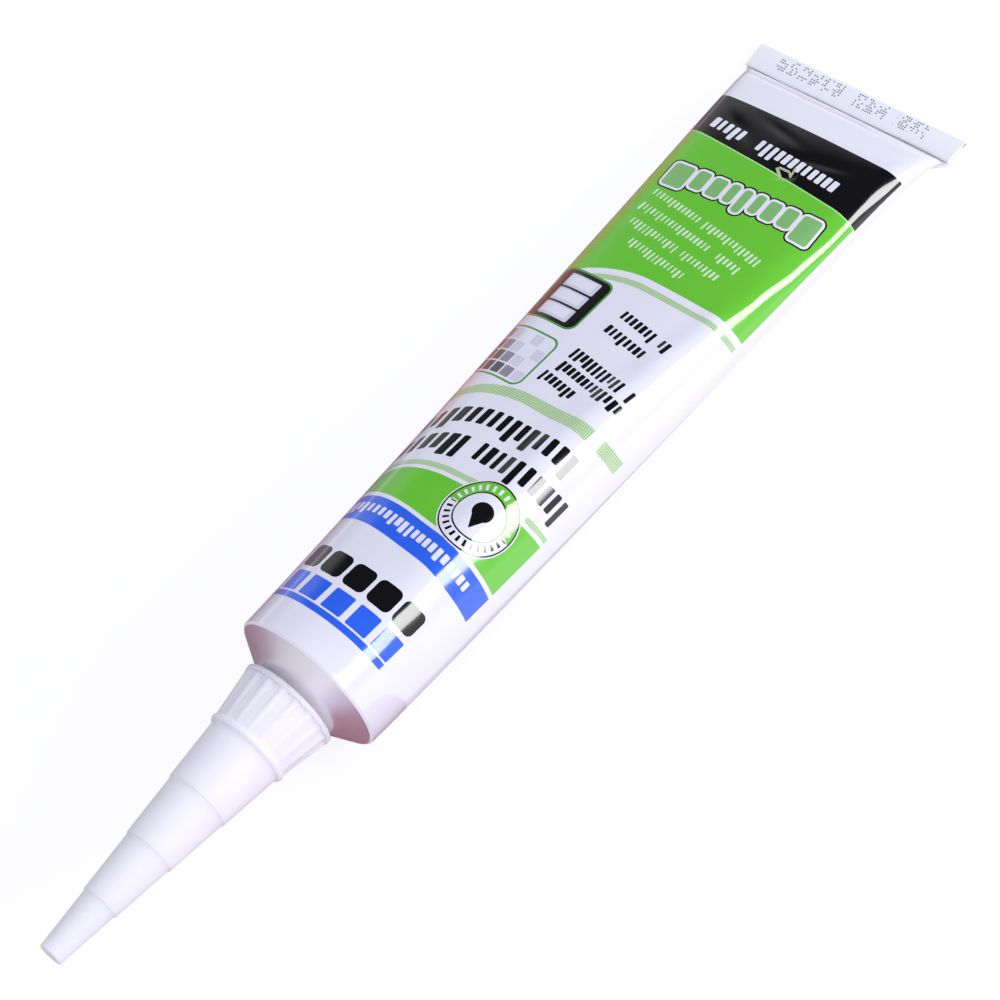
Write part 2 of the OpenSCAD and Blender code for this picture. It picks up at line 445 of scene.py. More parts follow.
def small_print(tree, at, columns, rows, pitch, line):
    """1 inside lines of small blocks that fill the given columns and rows, with ragged gaps."""
    (left, right), (top, bottom) = columns, rows
    narrow, more_width = 0.22, 0.14
    low, more_height, high_share = 0.2, 0.09, 0.4
    gap_share = 0.16
    cells = add(
        tree, "ShaderNodeMapping", {"Vector": at, "Scale": (1 / pitch, 1 / line, 0)}
    ).outputs[0]
    numbers = worked_out(tree, VECTOR_MATH, cells, ("FLOOR",))
    within = worked_out(tree, VECTOR_MATH, cells, ("FRACTION",))
    chance = add(tree, "ShaderNodeTexWhiteNoise", {"Vector": numbers}, noise_dimensions="2D")
    wide, tall, there = add(tree, "ShaderNodeSeparateColor", {0: chance.outputs["Color"]}).outputs
    x, y = add(tree, "ShaderNodeSeparateXYZ", {0: within}).outputs[:2]
    half = worked_out(tree, MATH, wide, ("MULTIPLY_ADD", more_width, narrow))
    height = worked_out(
        tree, MATH, tall, ("LESS_THAN", high_share), ("MULTIPLY_ADD", more_height, low)
    )
    return both(
        tree,
        worked_out(tree, MATH, x, ("COMPARE", 0.5, half)),
        worked_out(tree, MATH, y, ("COMPARE", 0.5, height)),
        worked_out(tree, MATH, there, ("GREATER_THAN", gap_share)),
        block(tree, at, ((left + right) / 2, (top + bottom) / 2), (right - left, bottom - top)),
    )


def halftone(tree, at, pitch):
    """1 on the dots of a screen set at 45 degrees."""
    dot_level = -0.12
    screen = add(
        tree, "ShaderNodeMapping",
        {"Vector": at, "Rotation": (0, 0, math.pi / 4), "Scale": (2 * math.pi / pitch,) * 3},
    ).outputs[0]
    x, y = add(tree, "ShaderNodeSeparateXYZ", {0: screen}).outputs[:2]
    other_wave = worked_out(tree, MATH, y, ("SINE",))
    return worked_out(
        tree, MATH, x, ("SINE",), ("MULTIPLY", other_wave), ("GREATER_THAN", dot_level)
    )


def deselect():
    """Leaves edit mode and lets go of everything."""
    if bpy.context.object and bpy.context.object.mode != "OBJECT":
        bpy.ops.object.mode_set(mode="OBJECT")
    bpy.ops.object.select_all(action="DESELECT")


def edit(selected="SELECT"):
    """Enters edit mode with all of the mesh selected, or none of it."""
    bpy.ops.object.mode_set(mode="EDIT")
    bpy.ops.mesh.select_all(action=selected)


def finish_piece(piece, body, slot, *materials):
    """The piece's materials and the body it rides on; its slot argument is not used."""
    for material in materials:
        piece.data.materials.append(material)
    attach(piece, body)
    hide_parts(body)


def arc_points(centre, radius, start, end, steps):
    """Points of a circular arc as (radius, height) pairs, with angles in degrees."""
    angles = [math.radians(start + (end - start) * i / steps) for i in range(steps + 1)]
    return [(centre[0] + radius * math.cos(a), centre[1] + radius * math.sin(a)) for a in angles]


def stretch(start, end, steps):
    """Points along a straight stretch of an outline, without its start."""
    return [
        (start[0] + (end[0] - start[0]) * i / steps, start[1] + (end[1] - start[1]) * i / steps)
        for i in range(1, steps + 1)
    ]


def turned_piece(name, outline, steps):
    """A closed piece turned about Z from an outline of (radius, height) that ends on the axis."""
    deselect()
    bpy.ops.mesh.primitive_plane_add(size=MM)
    piece = bpy.context.object
    piece.name = name
    edit()
    bpy.ops.mesh.merge(type="CENTER")
    bpy.ops.transform.translate(value=(outline[0][0], 0, outline[0][1]))
    for (r0, z0), (r1, z1) in zip(outline, outline[1:]):
        bpy.ops.mesh.extrude_region_move(TRANSFORM_OT_translate={"value": (r1 - r0, 0, z1 - z0)})
    bpy.ops.mesh.select_all(action="SELECT")
    bpy.ops.mesh.spin(steps=steps, angle=2 * math.pi, center=(0, 0, 0), axis=(0, 0, 1))
    bpy.ops.mesh.select_all(action="SELECT")
    bpy.ops.mesh.remove_doubles(threshold=SAME_POINT)
    bpy.ops.mesh.normals_make_consistent(inside=False)
    bpy.ops.object.mode_set(mode="OBJECT")
    return piece


def set_on_axis(piece):
    """Puts a turned piece on the tube's axis, with its place in its mesh."""
    piece.matrix_world = ON_AXIS
    bpy.ops.object.transform_apply(location=True, rotation=True, scale=True)
    bpy.ops.object.shade_smooth_by_angle(angle=math.radians(40))


def make_camera():
    """A camera that stands where the photograph's did."""
    camera = bpy.data.objects.new("camera", bpy.data.cameras.new("camera"))
    bpy.context.scene.collection.objects.link(camera)
    right = LOOKS_ALONG.cross(CAMERA_UP).normalized()
    up = right.cross(LOOKS_ALONG).normalized()
    turn = Matrix((right, up, -LOOKS_ALONG)).transposed().to_4x4()
    camera.matrix_world = Matrix.Translation(CAMERA_AT) @ turn
    camera.data.lens = LENS_MM
    camera.data.clip_start = 0.01
    bpy.context.scene.camera = camera


def make_body():
    """The sheet: a flat grid laid round the rim, over the filled body and into the flat end."""
    around, along = SHEET_FACES
    deselect()
    bpy.ops.mesh.primitive_grid_add(x_subdivisions=around, y_subdivisions=along, size=1)
    body = bpy.context.object
    body.name = "tube_body"
    flat = [(v.co.x * GIRTH, (v.co.y + 0.5) * BODY_L) for v in body.data.vertices]
    for v, (arc, s) in zip(body.data.vertices, flat):
        v.co = body_point(arc, s)
    normals = [v.normal.copy() for v in body.data.vertices]
    for v, n, (arc, s) in zip(body.data.vertices, normals, flat):
        before_fold = min(1.0, max(0.0, (BODY_L - s) / DENTS_FADE))
        upper = min(1.0, max(0.0, 1.6 - abs(arc) / (GIRTH / 4)))
        v.co += n * (swell_height(arc, s) - dent_depth(arc, s) * before_fold * upper)
    edit()
    bpy.ops.mesh.remove_doubles(threshold=SEAM_GAP)
    bpy.ops.object.mode_set(mode="OBJECT")
    bpy.ops.object.shade_smooth()
    return body


def tail_route():
    """The fold's section as (behind the fold, height): out, round, back, and tucked in again."""
    layer = 2 * SHEET_T
    reach_in, support, tuck_short, tuck_lift = 1.5 * MM, 2.6 * MM, 1.1 * MM, 0.04 * MM
    low, high = layer / 2, FOLD_T - layer / 2
    middle = (low + high) / 2 + tuck_lift
    bend, tuck = (high - low) / 2, (high - middle) / 2
    route = [(-reach_in, low), (0.0, low), (FOLD_DEPTH - layer / 2 - bend, low)]
    route += arc_points((route[-1][0], low + bend), bend, -90, 90, 10)[1:]
    route += [(support, high), (layer / 2 + tuck, high)]
    route += arc_points((route[-1][0], high - tuck), tuck, 90, 270, 6)[1:]
    return route + [(FOLD_DEPTH / 2, middle), (FOLD_DEPTH - tuck_short, middle)]


def make_tail():
    """The flattened end and the strip rolled over it: a ribbon of doubled sheet, folded twice."""
    inner_width = 0.9
    flare, flare_power = 0.25 * MM, 6
    route = tail_route()
    deselect()
    bpy.ops.mesh.primitive_grid_add(x_subdivisions=1, y_subdivisions=TAIL_FACES, size=1)
    tail = bpy.context.object
    tail.name = "tail_fold"
    for v in tail.data.vertices:
        inside = v.co.x < 0
        x, z = route[0] if inside else route[1]
        v.co = (FOLD_X + x, v.co.y * TAIL_W * (inner_width if inside else 1.0), z)
    edit("DESELECT")
    bpy.ops.mesh.select_mode(type="VERT")
    bpy.ops.object.mode_set(mode="OBJECT")
    for v in tail.data.vertices:
        v.select = v.co.x > FOLD_X - MM / 2
    bpy.ops.object.mode_set(mode="EDIT")
    for (x0, z0), (x1, z1) in zip(route[1:], route[2:]):
        bpy.ops.mesh.extrude_region_move(TRANSFORM_OT_translate={"value": (x1 - x0, 0, z1 - z0)})
    bpy.ops.object.mode_set(mode="OBJECT")
    for v in tail.data.vertices:
        side = v.co.y / TAIL_W
        wave = noise.noise(Vector((side * 5, 3.1, 0)))
        if v.co.z > FOLD_T / 2 and v.co.x < FOLD_X + MM:
            v.co.x += (0.22 - 0.16 * side + 0.12 * wave) * MM
        outward = math.copysign(flare, side) * abs(2 * side) ** flare_power
        v.co.y += outward * (v.co.x - FOLD_X) / FOLD_DEPTH
    solid = tail.modifiers.new("sheet", "SOLIDIFY")
    solid.thickness, solid.offset = 2 * SHEET_T * 0.98, 0
    bpy.ops.object.modifier_apply(modifier=solid.name)
    bpy.ops.object.shade_smooth_by_angle(angle=math.radians(50))
    return tail


def make_shoulder():
    """Bevelled rim, shoulder cone and threaded neck, drawn in one piece with the body."""
    root = NECK_R - THREAD_DEPTH
    fillet, soft = 0.3 * MM, 0.1 * MM
    run_in, run_out, fade_l = 1.0 * MM, 0.7 * MM, 0.8 * MM
    outline = [(0, -0.3 * MM), (BODY_R - 0.5 * MM, -0.3 * MM), (BODY_R - 0.08 * MM, -0.2 * MM)]
    outline += [(BODY_R - 0.01 * MM, 0.0)]
    outline += stretch(outline[-1], (BODY_R - RIM_BEVEL, RIM_BEVEL), 3)
    outline += stretch(outline[-1], (SHOULDER_R + 2 * soft, SHOULDER_L - soft), 24)
    outline += [(SHOULDER_R, SHOULDER_L), (root + fillet, SHOULDER_L), (root, SHOULDER_L + fillet)]
    outline += stretch(outline[-1], (root, NECK_END - fillet), 84)
    outline += [(root - 1.5 * soft, NECK_END), (MOUTH_R + soft, NECK_END)]
    outline += [(MOUTH_R, NECK_END - soft), (MOUTH_R, NECK_END - SEAL_DEPTH)]
    outline += [(0, NECK_END - SEAL_DEPTH)]
    shoulder = turned_piece("shoulder_and_neck", outline, SHOULDER_FACES)
    first, last = SHOULDER_L + run_in, NECK_END - run_out
    for v in shoulder.data.vertices:
        radius = math.hypot(v.co.x, v.co.y)
        if abs(radius - root) > 0.02 * MM or not first < v.co.z < last:
            continue
        phase = (v.co.z / THREAD_PITCH - math.atan2(v.co.y, v.co.x) / (2 * math.pi)) % 1
        ridge = min(1.0, max(0.0, 1.35 * (math.cos(2 * math.pi * phase) + 0.35)))
        fade = min(1.0, (v.co.z - first) / fade_l, (last - v.co.z) / fade_l)
        grown = (root + (THREAD_DEPTH - 0.01 * MM) * ridge * fade) / radius
        v.co.x, v.co.y = v.co.x * grown, v.co.y * grown
    set_on_axis(shoulder)
    return shoulder


def make_seal():
    """The foil over the mouth, which the user pierces: slightly hollow and crimped at its rim."""
    crimps, crimps_from, crimp_h, hollow = 24, 0.72, 0.11 * MM, 0.06 * MM
    foil_r = MOUTH_R - 0.04 * MM
    foot, face = NECK_END - SEAL_DEPTH + 0.02 * MM, NECK_END - SEAL_DEPTH + 0.12 * MM
    outline = [(0, foot), (foil_r, foot)]
    outline += stretch(outline[-1], (foil_r, face), 1)
    outline += stretch(outline[-1], (0, face), 18)
    seal = turned_piece("foil_seal", outline, SEAL_FACES)
    for v in seal.data.vertices:
        if v.co.z > face - 0.02 * MM:
            radius = math.hypot(v.co.x, v.co.y) / MOUTH_R
            crimp = math.cos(crimps * math.atan2(v.co.y, v.co.x)) * max(0.0, radius - crimps_from)
            v.co.z += crimp_h * crimp + hollow * (math.cos(4 * math.pi * radius) - 1) / 2
    set_on_axis(seal)
    return seal


def nozzle_outline():
    """Half the nozzle's section, from its channel's end out to the flange and on to the tip."""
    channel_end = NOZZLE_END - TIP_WALL
    socket_end = NECK_END + SEAT_GAP
    soft, fillet = 0.1 * MM, 0.12 * MM
    points = [(0, channel_end), (CHANNEL_TIP_R, channel_end)]
    points += stretch(points[-1], (CHANNEL_R, socket_end), 12)
    points += [(SOCKET_R - soft, socket_end), (SOCKET_R, socket_end - soft)]
    points += stretch(points[-1], (SOCKET_R, NOZZLE_START + 0.5 * MM), 50)
    points += [(SOCKET_R + 0.3 * MM, NOZZLE_START)]
    points += arc_points((FLANGE_R - EDGE, NOZZLE_START + EDGE), EDGE, -90, 0, 4)
    points += arc_points((FLANGE_R - EDGE, NOZZLE_START + FLANGE_T - EDGE), EDGE, 0, 90, 4)
    points += [(SKIRT_R + fillet, NOZZLE_START + FLANGE_T)]
    points += [(SKIRT_R, NOZZLE_START + FLANGE_T + fillet)]
    points += stretch(points[-1], (SKIRT_END_R, COLLAR_START), 26)
    bend = COLLAR_L / 2
    points += arc_points((COLLAR_R - bend, COLLAR_START + bend), bend, -50, 78, 12)
    stage_l = (NOZZLE_END - CONE_START) / STAGES
    drop = (CONE_R - TIP_R - (STAGES - 1) * STEP_H) / STAGES
    lip = 0.6 * STEP_H
    for k in range(STAGES):
        start_r = CONE_R - k * (drop + STEP_H)
        start, end = CONE_START + k * stage_l, CONE_START + (k + 1) * stage_l
        points += [(start_r + 0.05 * MM, start + 0.02 * MM), (start_r, start + 0.14 * MM)]
        points += stretch(points[-1], (start_r - drop, end - lip), 8)
        points += arc_points((start_r - drop - lip, end - lip), lip, 30, 90, 3)
    return points + [(TIP_R - 0.5 * MM, NOZZLE_END), (0, NOZZLE_END)]


def make_nozzle():
    """Injection-moulded nozzle: flange, ribbed grip skirt, rounded collar and stepped stages."""
    nozzle = turned_piece("stepped_nozzle", nozzle_outline(), RIB_COUNT * FACES_PER_RIB)
    skirt_start = NOZZLE_START + FLANGE_T
    thread_start, thread_end = NOZZLE_START + 1.2 * MM, NECK_END - 0.6 * MM
    fade_l, near = 0.6 * MM, 0.02 * MM
    # Share of its height that a rib loses on the way to the collar
    rib_loss = 0.67
    for v in nozzle.data.vertices:
        radius, angle = math.hypot(v.co.x, v.co.y), math.atan2(v.co.y, v.co.x)
        grown = 0.0
        if radius > SKIRT_END_R - near and skirt_start < v.co.z <= COLLAR_START + 0.01 * MM:
            along = (v.co.z - skirt_start) / (COLLAR_START - skirt_start)
            height = RIB_H * (1 - rib_loss * along)
            turn = (angle * RIB_COUNT / (2 * math.pi) + 0.5) % 1 - 0.5
            aside = turn * 2 * math.pi * radius / RIB_COUNT
            if abs(aside) < RIB_R:
                grown = max(0.0, math.sqrt(RIB_R**2 - aside**2) - RIB_R + height)
        elif abs(radius - SOCKET_R) < near and thread_start < v.co.z < thread_end:
            phase = (v.co.z / THREAD_PITCH - angle / (2 * math.pi)) % 1
            fade = min(1.0, (v.co.z - thread_start) / fade_l, (thread_end - v.co.z) / fade_l)
            groove = min(1.0, max(0.0, 0.9 + 1.3 * math.cos(2 * math.pi * phase)))
            grown = SOCKET_THREAD * fade * groove
        if grown:
            scale = (radius + grown) / radius
            v.co.x, v.co.y = v.co.x * scale, v.co.y * scale
    set_on_axis(nozzle)
    return nozzle


def lacquered(tree, colour):
    """Roller-coated white lacquer under gloss varnish: a sharp highlight, faint orange peel."""
    place = add(tree, "ShaderNodeTexCoord").outputs["Object"]
    peel = add(
        tree, "ShaderNodeTexNoise", {"Vector": place, "Scale": 1 / (1.6 * MM), "Detail": 2.0}
    )
    smears = add(
        tree, "ShaderNodeTexNoise", {"Vector": place, "Scale": 1 / (14 * MM), "Detail": 3.0}
    )
    rough = add(
        tree, "ShaderNodeMapRange",
        {"Value": smears.outputs[0], "From Min": 0.3, "From Max": 0.7,
         "To Min": 0.14, "To Max": 0.22},
    )
    bump = add(
        tree, "ShaderNodeBump",
        {"Height": peel.outputs[0], "Strength": 0.25, "Distance": 0.012 * MM},
    )
    shader = add(
        tree, "ShaderNodeBsdfPrincipled",
        {"Base Color": colour, "Roughness": rough.outputs[0], "IOR": 1.5,
         "Specular IOR Level": 0.25, "Coat Weight": 1.0, "Coat Roughness": 0.08, "Coat IOR": 1.74,
         "Normal": bump.outputs[0]},
    )
    add(tree, "ShaderNodeOutputMaterial", {"Surface": shader.outputs[0]})


def emblem(tree, at, colour):
    """A round generic mark: a ring, half green and half white, with ticks, round a black drop."""
    centre, outer, inner, line, margin = (8.1, 32.0, 0), 5.7, 3.7, 0.25, 0.45
    ticks, tick_share, tick_at, tick_l = 28, 0.2, 4.75, 0.5
    belly_at, belly_r, taper, tip = (0, 0.7, 0), 1.55, 0.47, 1.22
    from_centre = worked_out(tree, VECTOR_MATH, at, ("SUBTRACT", centre))
    reach = add(tree, VECTOR_MATH, {0: from_centre}, operation="LENGTH").outputs["Value"]
    x, y = add(tree, "ShaderNodeSeparateXYZ", {0: from_centre}).outputs[:2]
    angle = worked_out(
        tree, MATH, y, ("ARCTAN2", x), ("MULTIPLY_ADD", ticks / (2 * math.pi), 14.5)
    )
    tick = worked_out(tree, MATH, angle, ("FRACT",), ("COMPARE", 0.5, tick_share))
    ring = worked_out(tree, MATH, reach, ("COMPARE", tick_at, tick_l))
    lower = worked_out(tree, MATH, y, ("GREATER_THAN", 0.0))
    upper = worked_out(tree, MATH, y, ("LESS_THAN", 0.0))
    for radius, code in ((outer + margin, WHITE), (outer + line, BLACK), (outer, WHITE)):
        disc = worked_out(tree, MATH, reach, ("LESS_THAN", radius))
        colour = ink(tree, colour, disc, code)
    colour = ink(tree, colour, both(tree, disc, lower), GREEN)
    colour = ink(tree, colour, both(tree, tick, ring, lower), WHITE)
    colour = ink(tree, colour, both(tree, tick, ring, upper), BLACK)
    for radius, code in ((inner + line, BLACK), (inner, WHITE)):
        colour = ink(tree, colour, worked_out(tree, MATH, reach, ("LESS_THAN", radius)), code)
    belly = add(tree, VECTOR_MATH, {0: from_centre, 1: belly_at}, operation="DISTANCE")
    round_part = worked_out(tree, MATH, belly.outputs["Value"], ("LESS_THAN", belly_r))
    half_width = worked_out(tree, MATH, y, ("MULTIPLY_ADD", taper, tip))
    pointed = both(
        tree,
        worked_out(tree, MATH, x, ("ABSOLUTE",), ("LESS_THAN", half_width)),
        worked_out(tree, MATH, y, ("LESS_THAN", 0.2)),
    )
    drop = worked_out(tree, MATH, round_part, ("MAXIMUM", pointed))
    return ink(tree, colour, drop, BLACK)


def pictograms(tree, at, colour):
    """Two generic marks in green frames: a tiled wall, and a window of three panes."""
    tiles, window = (-9.2, 57.9), (-9.3, 70.5)
    frame_line, corner = 0.7, 1.7
    for centre, size in ((tiles, (11.4, 10.4)), (window, (11.0, 10.7))):
        inner = (size[0] - frame_line, size[1] - frame_line)
        colour = ink(tree, colour, block(tree, at, centre, size, corner), DEEP_GREEN)
        colour = ink(tree, colour, block(tree, at, centre, inner, corner - 0.3), WHITE)
    colour = ink(tree, colour, block(tree, at, window, (10.3, 10.0), corner - 0.3), BLACK)
    for i in range(5):
        for j in range(4):
            centre = (tiles[0] + 2.1 * (i - 2), tiles[1] + 2.3 * (j - 1.5))
            tile = block(tree, at, centre, (1.8, 2.0), 0.2)
            colour = ink(tree, colour, tile, TILE_TONES[i + j])
    for j in (-1, 0, 1):
        across, behind = window[0] + 0.3, window[1] + 3.0 * j
        pane = block(tree, at, (across, behind), (6.2, 2.6), 0.3)
        glint = block(tree, at, (across - 0.2, behind + 0.1), (5.2, 1.8), 0.3)
        colour = ink(tree, ink(tree, colour, pane, PAPER_GREY), glint, WHITE)
    return colour


def painted_crease_highlight(tree, at, colour):
    """A painted highlight: pale strokes on the small sharp crease where the sheet was pinched."""
    for (x0, y0), (x1, y1), width in CREASE_HIGHLIGHT_STROKES:
        angle, length = math.atan2(y1 - y0, x1 - x0), math.hypot(x1 - x0, y1 - y0)
        cos, sin = math.cos(angle), math.sin(angle)
        shift = (-x0 * cos - y0 * sin, x0 * sin - y0 * cos, 0)
        along = add(
            tree, "ShaderNodeMapping",
            {"Vector": at, "Rotation": (0, 0, -angle), "Location": shift},
        ).outputs[0]
        stroke = block(tree, along, (length / 2, 0), (length, width), 0.45 * width)
        colour = ink(tree, colour, stroke, CREASE_HIGHLIGHT_PALE)
    return colour


def front_print(tree, at, colour):
    """The panel's fields, rules and rows of blocks, in the order in which the inks go down."""
    for top, bottom, end, code in FIELDS:
        colour = ink(tree, colour, field(tree, at, top, bottom, -PANEL_EDGE, end), code)
    dots = halftone(tree, at, HALFTONE_PITCH)
    for top, bottom in STRIPS:
        strip = field(tree, at, top, bottom, -PANEL_EDGE, PANEL_EDGE)
        colour = ink(tree, colour, strip, PALE_GREEN)
        colour = ink(tree, colour, both(tree, strip, dots), HALFTONE_GREEN)
    for i in range(BLOCK_COUNT):
        for (across, behind), size, corner, code in BLOCKS:
            one = block(tree, at, (across - BLOCK_STEP * i, behind), size, corner)
            colour = ink(tree, colour, one, code)
    places = {
        "band": sheared(tree, at, -0.09, -0.013),
        "large": sheared(tree, at, 0.03, -0.033),
        "notes": turned(tree, at, 0.14, 64),
        "lines": turned(tree, at, 0.12, 87.5),
        "foot": turned(tree, at, 0.04, 109),
    }
    for lies, spans, rows, pitch, weight, seed, code in ROWS:
        bars = type_row(tree, places[lies], spans, rows, pitch, weight, seed)
        colour = ink(tree, colour, bars, code)
    emphasis = turned(tree, at, -0.07, 99)
    for grown, code in ((1.1, BLACK), (0.55, WHITE), (-0.3, FRESH_GREEN)):
        for across, behind, wide, tall in EMPHASIS:
            size, corner = (wide + grown, tall + grown), EMPHASIS_CORNER + grown / 2
            shape = block(tree, emphasis, (across, behind), size, corner)
            colour = ink(tree, colour, shape, code)
    # Painted highlight on the pinched crease
    colour = painted_crease_highlight(tree, at, colour)
    return emblem(tree, at, pictograms(tree, at, colour))


def back_print(tree, at, colour):
    """The plain back: two columns of small print between fine rules, beside the underside."""
    for side in (-1, 1):
        left, right = columns = sorted(side * edge for edge in BACK_COLUMN)
        for behind in BACK_RULES:
            rule = block(tree, at, ((left + right) / 2, behind), (right - left + 0.4, 0.5))
            colour = ink(tree, colour, rule, BLUE)
        for rows, pitch, line in BACK_LINES:
            blocks = small_print(tree, at, columns, rows, pitch, line)
            colour = ink(tree, colour, blocks, INK_GREY)
    return colour


def printed_lacquer():
    """Offset-printed inks on the white lacquer of the body, under one gloss varnish."""
    material, tree = new_material("printed_lacquer")
    uv = add(tree, "ShaderNodeUVMap", uv_map="UVMap").outputs[0]
    at = add(
        tree, "ShaderNodeMapping",
        {"Vector": uv, "Location": (-GIRTH / 2 / MM, 0, 0),
         "Scale": (GIRTH / MM, BODY_L / MM, 1)},
    ).outputs[0]
    ground = add(tree, "ShaderNodeRGB")
    ground.outputs[0].default_value = linear(WHITE)
    lacquered(tree, back_print(tree, at, front_print(tree, at, ground.outputs[0])))
    return material


def coded_lacquer():
    """The plain lacquer of the tail strip, in a lighter white that is painted light, with a chance
    pattern of grey ink-jet dots.
    """
    material, tree = new_material("strip_lacquer")
    dot_pitch, dot_r, from_edge = 0.44, 0.36, 1.62
    rows, columns = 6, 5.0
    place = add(tree, "ShaderNodeTexCoord").outputs["Object"]
    at = add(
        tree, "ShaderNodeMapping",
        {"Vector": place, "Location": (-FOLD_X / MM - from_edge, 0, 0), "Scale": (1 / MM,) * 3},
    ).outputs[0]
    grid = worked_out(tree, VECTOR_MATH, at, ("MULTIPLY", (1 / dot_pitch, 1 / dot_pitch, 0)))
    cell = worked_out(tree, VECTOR_MATH, grid, ("FLOOR",))
    within = worked_out(tree, VECTOR_MATH, grid, ("FRACTION",))
    chance = add(tree, "ShaderNodeTexWhiteNoise", {"Vector": cell}, noise_dimensions="2D")
    off = add(tree, VECTOR_MATH, {0: within, 1: (0.5, 0.5, 0)}, operation="DISTANCE")
    column = add(tree, "ShaderNodeSeparateXYZ", {0: cell}).outputs[1]
    height = add(tree, "ShaderNodeSeparateXYZ", {0: at}).outputs[2]
    dot = both(
        tree,
        worked_out(tree, MATH, off.outputs["Value"], ("LESS_THAN", dot_r)),
        worked_out(tree, MATH, chance.outputs["Value"], ("GREATER_THAN", 0.4)),
        worked_out(tree, MATH, column, ("FLOORED_MODULO", columns), ("GREATER_THAN", 0.5)),
        worked_out(tree, MATH, height, ("GREATER_THAN", 0.8 * FOLD_T / MM)),
    )
    ground = add(tree, "ShaderNodeRGB")
    ground.outputs[0].default_value = linear(STRIP_LIT_WHITE)
    colour = ground.outputs[0]
    for start, end in ((-14.1, -8.2), (-6.2, 0.4), (2.6, 15.4)):
        centre = (rows / 2 * dot_pitch, (start + end) / 2)
        group = block(tree, at, centre, (rows * dot_pitch, end - start))
        colour = ink(tree, colour, both(tree, group, dot), DOT_GREY)
    lacquered(tree, colour)
    return material


def bare_aluminium():
    """Bare drawn aluminium: satin, with faint rings from the punch. The lacquer ends at the rim."""
    material, tree = new_material("bare_aluminium")
    # The real rings are 0.1 mm apart or less, and are drawn coarser so that they show
    ring_pitch = 0.5
    waves_in_scale = 20 / (2 * math.pi)
    place = add(tree, "ShaderNodeTexCoord").outputs["Object"]
    along = add(
        tree, "ShaderNodeMapping",
        {"Vector": place, "Rotation": (0, -LEAN, 0), "Scale": (1 / MM,) * 3,
         "Location": (-RIM_CENTRE.dot(BACK) / MM, 0, 0)},
    ).outputs[0]
    behind = add(tree, "ShaderNodeSeparateXYZ", {0: along}).outputs[0]
    rim = worked_out(tree, MATH, behind, ("GREATER_THAN", -1.15 * RIM_BEVEL / MM))
    bare = worked_out(tree, MATH, rim, ("LESS_THAN", 0.5))
    rings = add(
        tree, "ShaderNodeTexWave",
        {"Vector": along, "Scale": 1 / (ring_pitch * waves_in_scale), "Distortion": 1.0,
         "Detail": 2.0, "Detail Scale": 2.0},
        wave_type="BANDS", bands_direction="X",
    )
    cloud = add(
        tree, "ShaderNodeTexNoise", {"Vector": place, "Scale": 1 / (2.5 * MM), "Detail": 4.0}
    )
    tone = add(
        tree, "ShaderNodeMix",
        {"Factor": cloud.outputs[0], 6: linear("#EDE8F1"), 7: linear("#F6F3F9")}, data_type="RGBA",
    )
    colour = ink(tree, tone.outputs[2], rim, "#FBF8FD")
    rough = add(
        tree, "ShaderNodeMapRange", {"Value": cloud.outputs[0], "To Min": 0.26, "To Max": 0.38}
    )
    bump = add(
        tree, "ShaderNodeBump",
        {"Height": rings.outputs[1], "Strength": 0.15, "Distance": 0.01 * MM},
    )
    shader = add(
        tree, "ShaderNodeBsdfPrincipled",
        {"Base Color": colour, "Metallic": bare, "Roughness": rough.outputs[0],
         "Normal": bump.outputs[0]},
    )
    add(tree, "ShaderNodeOutputMaterial", {"Surface": shader.outputs[0]})
    return material


def sealing_foil():
    """Thin annealed aluminium foil: brighter and a little wrinkled, with painted shade in its
    wrinkles' hollows.
    """
    material, tree = new_material("sealing_foil")
    place = add(tree, "ShaderNodeTexCoord").outputs["Object"]
    wrinkles = add(
        tree, "ShaderNodeTexNoise", {"Vector": place, "Scale": 1 / (0.9 * MM), "Detail": 5.0}
    )
    # Painted shade: the tone follows the wrinkles' height, darker in their hollows
    tone = add(
        tree, "ShaderNodeMix",
        {"Factor": wrinkles.outputs[0], 6: linear("#C9C7CC"), 7: linear("#E3E1E6")},
        data_type="RGBA",
    )
    bump = add(
        tree, "ShaderNodeBump",
        {"Height": wrinkles.outputs[0], "Strength": 0.6, "Distance": 0.05 * MM},
    )
    shader = add(
        tree, "ShaderNodeBsdfPrincipled",
        {"Base Color": tone.outputs[2], "Metallic": 1.0, "Roughness": 0.25,
         "Normal": bump.outputs[0]},
    )
    add(tree, "ShaderNodeOutputMaterial", {"Surface": shader.outputs[0]})
    return material


def natural_polyethylene():
    """Injection-moulded natural LDPE: milky, waxy satin, and light that soaks a little way in."""
    material, tree = new_material("natural_polyethylene")
    place = add(tree, "ShaderNodeTexCoord").outputs["Object"]
    flow = add(tree, "ShaderNodeTexNoise", {"Vector": place, "Scale": 1 / (6 * MM), "Detail": 3.0})
    # The mould's grain is finer than 0.1 mm, and is drawn coarser so that it shows
    grain = add(
        tree, "ShaderNodeTexNoise", {"Vector": place, "Scale": 1 / (0.35 * MM), "Detail": 2.0}
    )
    tone = add(
        tree, "ShaderNodeMix",
        {"Factor": flow.outputs[0], 6: linear("#F5EEF6"), 7: linear("#FAF4F9")}, data_type="RGBA",
    )
    rough = add(
        tree, "ShaderNodeMapRange", {"Value": flow.outputs[0], "To Min": 0.4, "To Max": 0.52}
    )
    bump = add(
        tree, "ShaderNodeBump",
        {"Height": grain.outputs[0], "Strength": 0.2, "Distance": 0.02 * MM},
    )
    shader = add(
        tree, "ShaderNodeBsdfPrincipled",
        {"Base Color": tone.outputs[2], "Roughness": rough.outputs[0], "IOR": 1.51,
         "Subsurface Weight": 1.0, "Subsurface Radius": (1.0, 0.95, 1.0),
         "Subsurface Scale": 2.5 * MM, "Normal": bump.outputs[0]},
    )
    add(tree, "ShaderNodeOutputMaterial", {"Surface": shader.outputs[0]})
    return material


